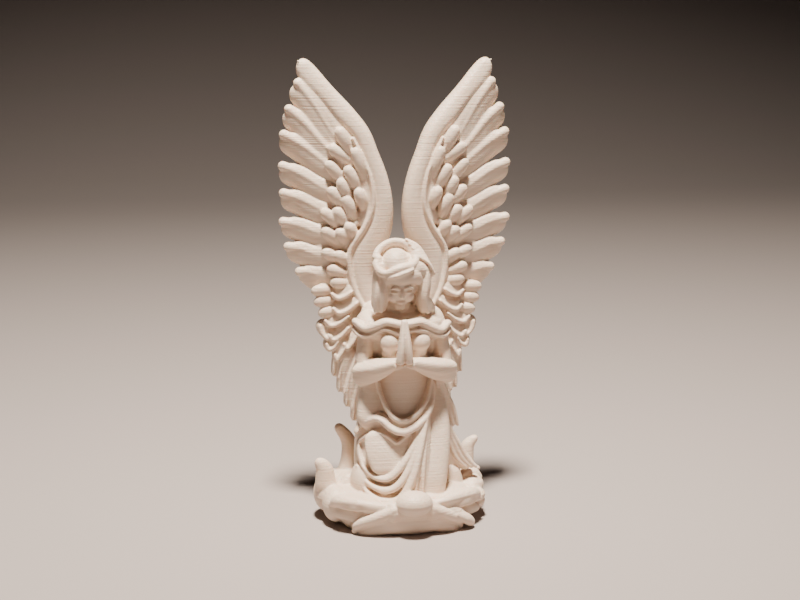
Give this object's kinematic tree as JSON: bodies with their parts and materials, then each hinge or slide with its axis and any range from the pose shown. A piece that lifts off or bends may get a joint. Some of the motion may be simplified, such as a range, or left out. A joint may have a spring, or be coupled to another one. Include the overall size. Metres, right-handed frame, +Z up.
{
  "type": "miniature angel figure",
  "caption": "Small printed figurine of a praying, robed angel with tall raised wings on a ring of petals, standing freely as a desk or shelf ornament.",
  "frame": {"origin": "centre of the footprint's bounding box on the flat underside", "axes": "+Z up from the underside to the wing tips, -Y the way the figure faces, +X to the viewer's right when facing it"},
  "size_m": [0.0514, 0.0394, 0.1],
  "materials": {
    "ivory_pla": "matt ivory PLA with fine horizontal print layers"
  },
  "bodies": {
    "root": {"angel_figure": "ivory_pla"}
  },
  "joints": []
}
